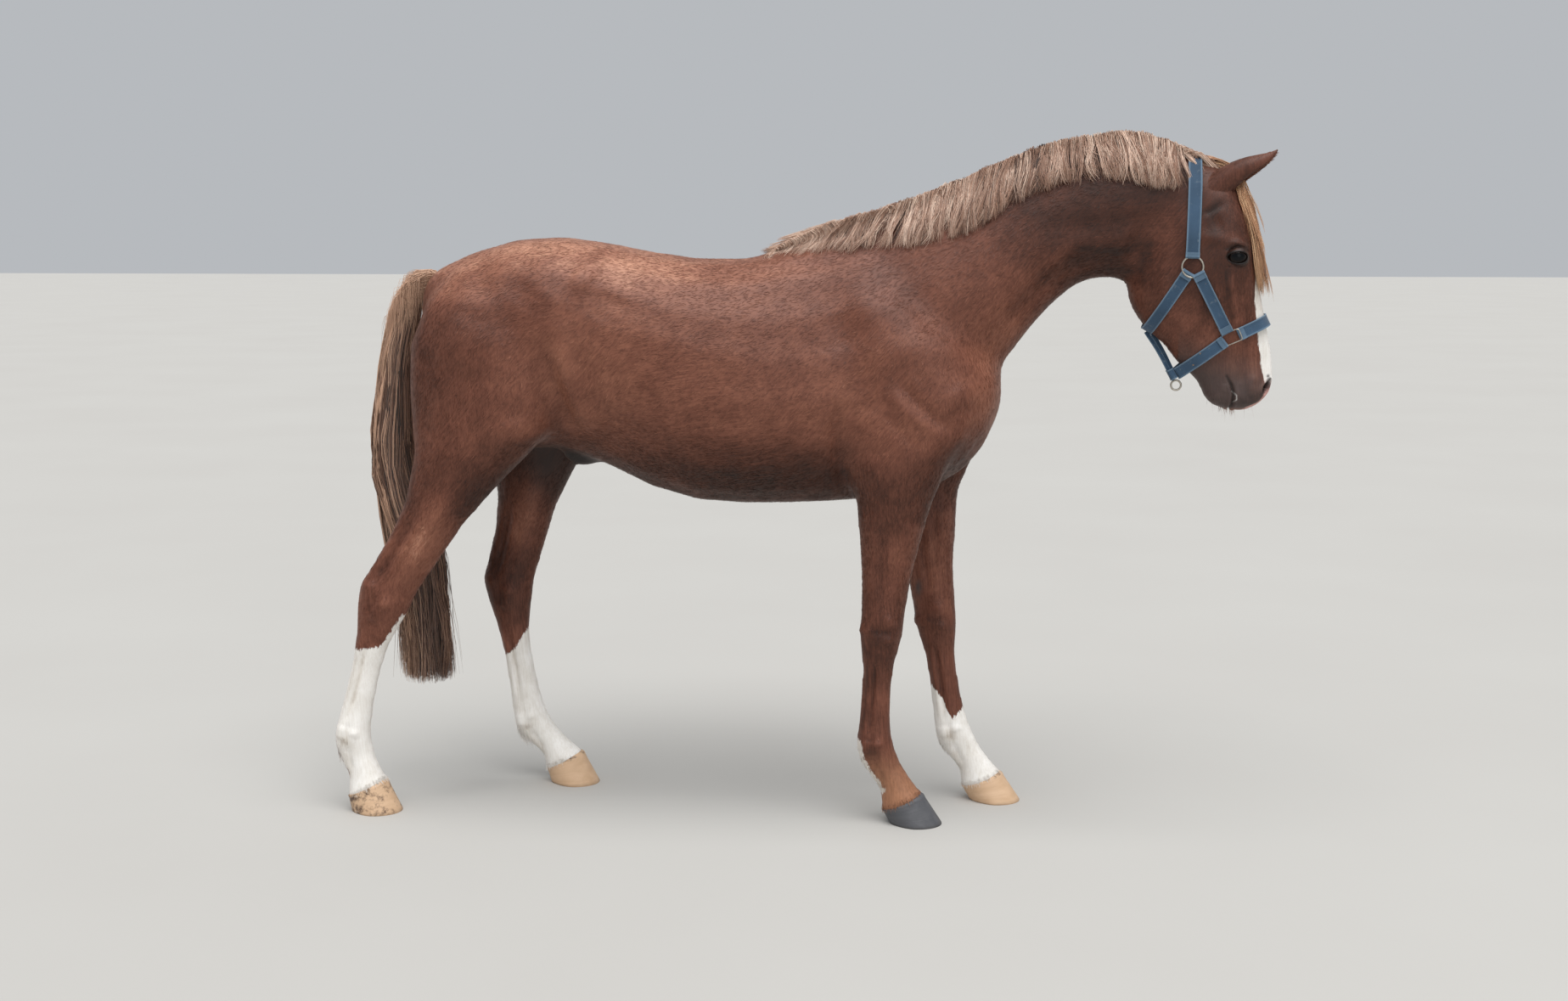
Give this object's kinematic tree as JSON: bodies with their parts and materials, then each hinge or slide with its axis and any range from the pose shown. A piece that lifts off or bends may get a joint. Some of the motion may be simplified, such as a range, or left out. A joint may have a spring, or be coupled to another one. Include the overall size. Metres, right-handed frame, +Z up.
{
  "type": "horse, still life-size model",
  "caption": "Life-size standing chestnut colt with flaxen mane and tail, blaze, white stockings and a webbing halter.",
  "frame": {"origin": "centre of the model's plan box, on the ground that the hooves stand on", "axes": "+X the way the horse faces, +Y its left side, +Z up"},
  "size_m": [2.4372, 0.52, 1.7861],
  "materials": {
    "coat": "short sleek chestnut coat over skin",
    "white_leg": "short white coat",
    "mane_hair": "long flaxen mane, forelock and tail hair",
    "pale_hoof": "pale hoof horn, satin",
    "dark_hoof": "slate hoof horn, satin",
    "eye": "wet dark brown eye",
    "webbing": "worn blue nylon webbing",
    "halter_metal": "worn plated rings"
  },
  "bodies": {
    "root": {"head": "coat", "neck": "coat", "trunk": "coat", "right_ear": "coat", "left_ear": "coat", "right_forearm": "coat", "left_forearm": "coat", "right_gaskin": "coat", "left_gaskin": "coat", "right_fore_cannon": "coat", "left_fore_cannon": "white_leg", "right_hind_cannon": "white_leg", "left_hind_cannon": "white_leg", "right_fore_hoof": "dark_hoof", "left_fore_hoof": "pale_hoof", "right_hind_hoof": "pale_hoof", "left_hind_hoof": "pale_hoof", "right_eye": "eye", "left_eye": "eye", "mane": "mane_hair", "forelock": "mane_hair", "tail": "mane_hair", "halter_crown_strap": "webbing", "halter_throat_strap": "webbing", "halter_front_noseband": "webbing", "halter_rear_noseband": "webbing", "halter_right_cheek_strap": "webbing", "halter_left_cheek_strap": "webbing", "halter_jaw_strap": "webbing", "halter_chin_keeper": "webbing", "halter_right_ring": "halter_metal", "halter_left_ring": "halter_metal", "halter_right_square_ring": "halter_metal", "halter_left_square_ring": "halter_metal", "halter_chin_ring": "halter_metal"}
  },
  "joints": []
}
